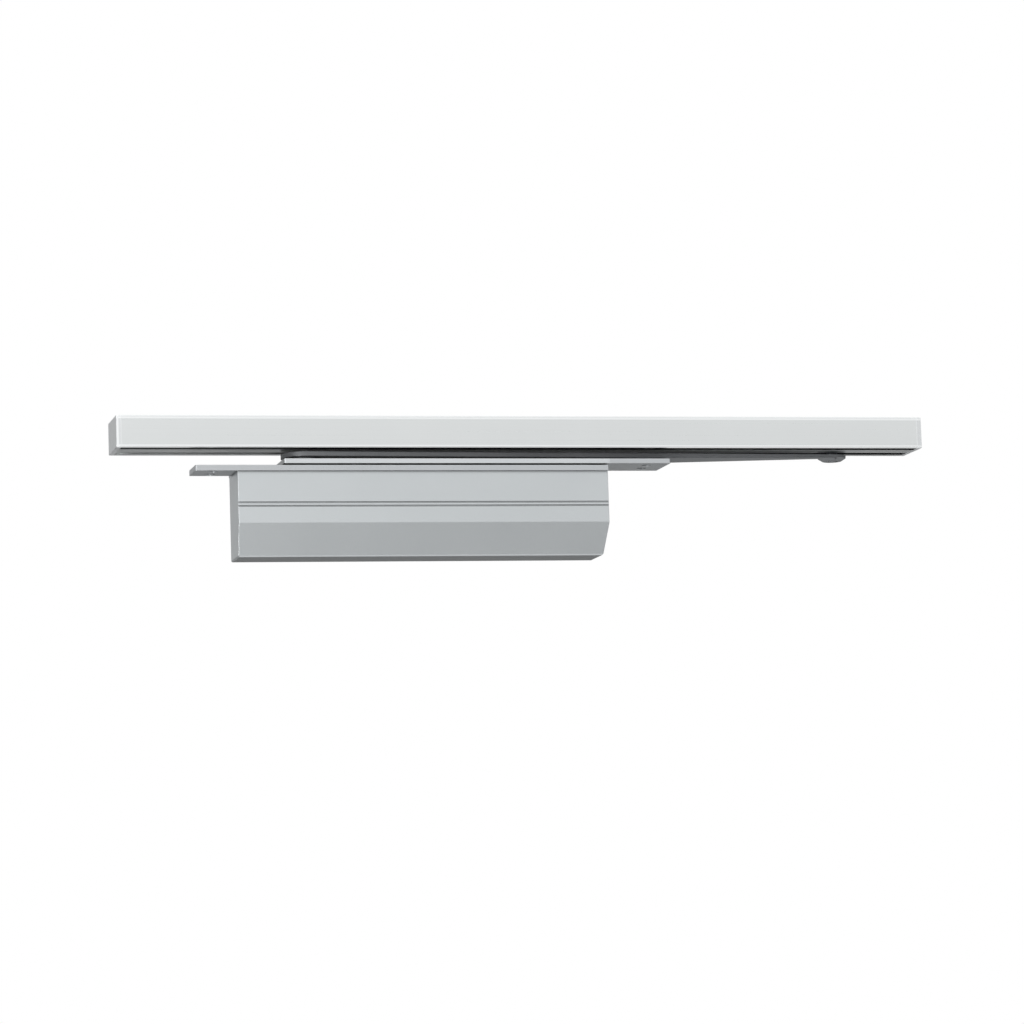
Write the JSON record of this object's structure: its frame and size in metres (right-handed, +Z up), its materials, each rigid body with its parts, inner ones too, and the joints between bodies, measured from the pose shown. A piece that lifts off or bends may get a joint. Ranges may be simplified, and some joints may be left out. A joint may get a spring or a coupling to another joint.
{
  "type": "concealed door closer",
  "caption": "Concealed cam-action door closer: slim silver body with fixing lugs, flat arm on a spindle and a slide channel for the frame.",
  "frame": {"origin": "on the axis of the front hole of the left fixing lug, at the lug's top face", "axes": "+X along the door away from the lug, towards the arm's slide pin; +Y from the door's front face to its back; +Z up, out of the door's top edge"},
  "size_m": [0.44, 0.031, 0.0741],
  "materials": {
    "housing_finish": "satin silver-painted casting",
    "plate_finish": "zinc-plated satin steel",
    "channel_finish": "satin silver anodised extrusion",
    "cap_finish": "moulded, lacquered in the channel's silver",
    "arm_finish": "steel strip, phosphated dark grey",
    "hard_steel": "ground and hardened",
    "spring_steel": "oiled spring wire",
    "bronze": "sintered bronze",
    "brass_valve": "turned brass",
    "seal_rubber": "black nitrile rubber",
    "piston_iron": "machined",
    "slider_plastic": "black acetal",
    "screw_steel": "zinc-plated"
  },
  "bodies": {
    "closer_body": {"housing": "housing_finish", "end_plug": "hard_steel", "plug_seal": "seal_rubber", "spindle_gland": "hard_steel", "spindle_seal": "seal_rubber", "upper_bearing": "bronze", "lower_bearing": "bronze", "closing_spring": "spring_steel", "lower_plate": "plate_finish", "cover_plate": "plate_finish", "right_fixing_bracket": "plate_finish", "plate_screws": "screw_steel"},
    "swing_arm": {"arm": "arm_finish", "arm_screw": "screw_steel", "cam_spindle": "hard_steel", "slide_pin": "hard_steel", "pin_retaining_ring": "spring_steel"},
    "pistons": {"spring_piston": "piston_iron", "damping_piston": "piston_iron", "damping_piston_seal": "seal_rubber", "check_valve_ball": "hard_steel", "roller_pins": "hard_steel", "piston_tie_plates": "hard_steel"},
    "spring_side_roller": {"spring_roller": "hard_steel"},
    "damping_side_roller": {"damping_roller": "hard_steel"},
    "spring_adjuster": {"spring_adjusting_screw": "screw_steel"},
    "spring_nut": {"spring_seat": "hard_steel"},
    "closing_valve": {"closing_speed_valve": "brass_valve", "closing_valve_seal": "seal_rubber"},
    "latching_valve": {"latching_speed_valve": "brass_valve", "latching_valve_seal": "seal_rubber"},
    "slider": {"slide_block": "slider_plastic"},
    "channel": {"slide_channel": "channel_finish", "channel_left_cap": "cap_finish", "channel_right_cap": "cap_finish"}
  },
  "joints": [
    {"name": "arm_swing", "type": "hinge", "parent": "closer_body", "child": "swing_arm", "pos_m": [0.05, 0.0095, 0], "axis": [0, 0, 1], "range_deg": [0, 120], "stiffness_Nm_per_rad": 4, "springref_deg": -28.65},
    {"name": "piston_travel", "type": "slide", "parent": "closer_body", "child": "pistons", "axis": [1, 0, 0], "range_m": [0, 0.004], "deforming": ["closing_spring"]},
    {"name": "spring_roller_spin", "type": "hinge", "parent": "pistons", "child": "spring_side_roller", "pos_m": [0.0588, 0.0095, -0.025], "axis": [0, 0, 1], "continuous": true},
    {"name": "damping_roller_spin", "type": "hinge", "parent": "pistons", "child": "damping_side_roller", "pos_m": [0.0352, 0.0095, -0.025], "axis": [0, 0, 1], "continuous": true},
    {"name": "spring_adjustment", "type": "hinge", "parent": "closer_body", "child": "spring_adjuster", "pos_m": [0.2, 0.0095, -0.025], "axis": [1, 0, 0], "range_deg": [-1440, 1440]},
    {"name": "spring_seat_travel", "type": "slide", "parent": "closer_body", "child": "spring_nut", "axis": [1, 0, 0], "range_m": [-0.004, 0.004], "deforming": ["closing_spring"]},
    {"name": "closing_speed_adjustment", "type": "hinge", "parent": "closer_body", "child": "closing_valve", "pos_m": [0.022, 0.003, -0.005], "axis": [0, 0, 1], "range_deg": [0, 720]},
    {"name": "latching_speed_adjustment", "type": "hinge", "parent": "closer_body", "child": "latching_valve", "pos_m": [0.022, 0.016, -0.005], "axis": [0, 0, 1], "range_deg": [0, 720]},
    {"name": "block_swivel", "type": "hinge", "parent": "swing_arm", "child": "slider", "pos_m": [0.34443, 0.016, 0.012], "axis": [0, 0, 1], "continuous": true},
    {"name": "channel_travel", "type": "slide", "parent": "slider", "child": "channel", "axis": [1, 0, 0], "range_m": [-0.0165, 0.3675]}
  ],
  "couplings": [
    {"joint": "piston_travel", "follows": "arm_swing", "m_per_rad": 0.0019099},
    {"joint": "spring_adjustment", "follows": "spring_seat_travel", "rad_per_m": -6283.2}
  ]
}
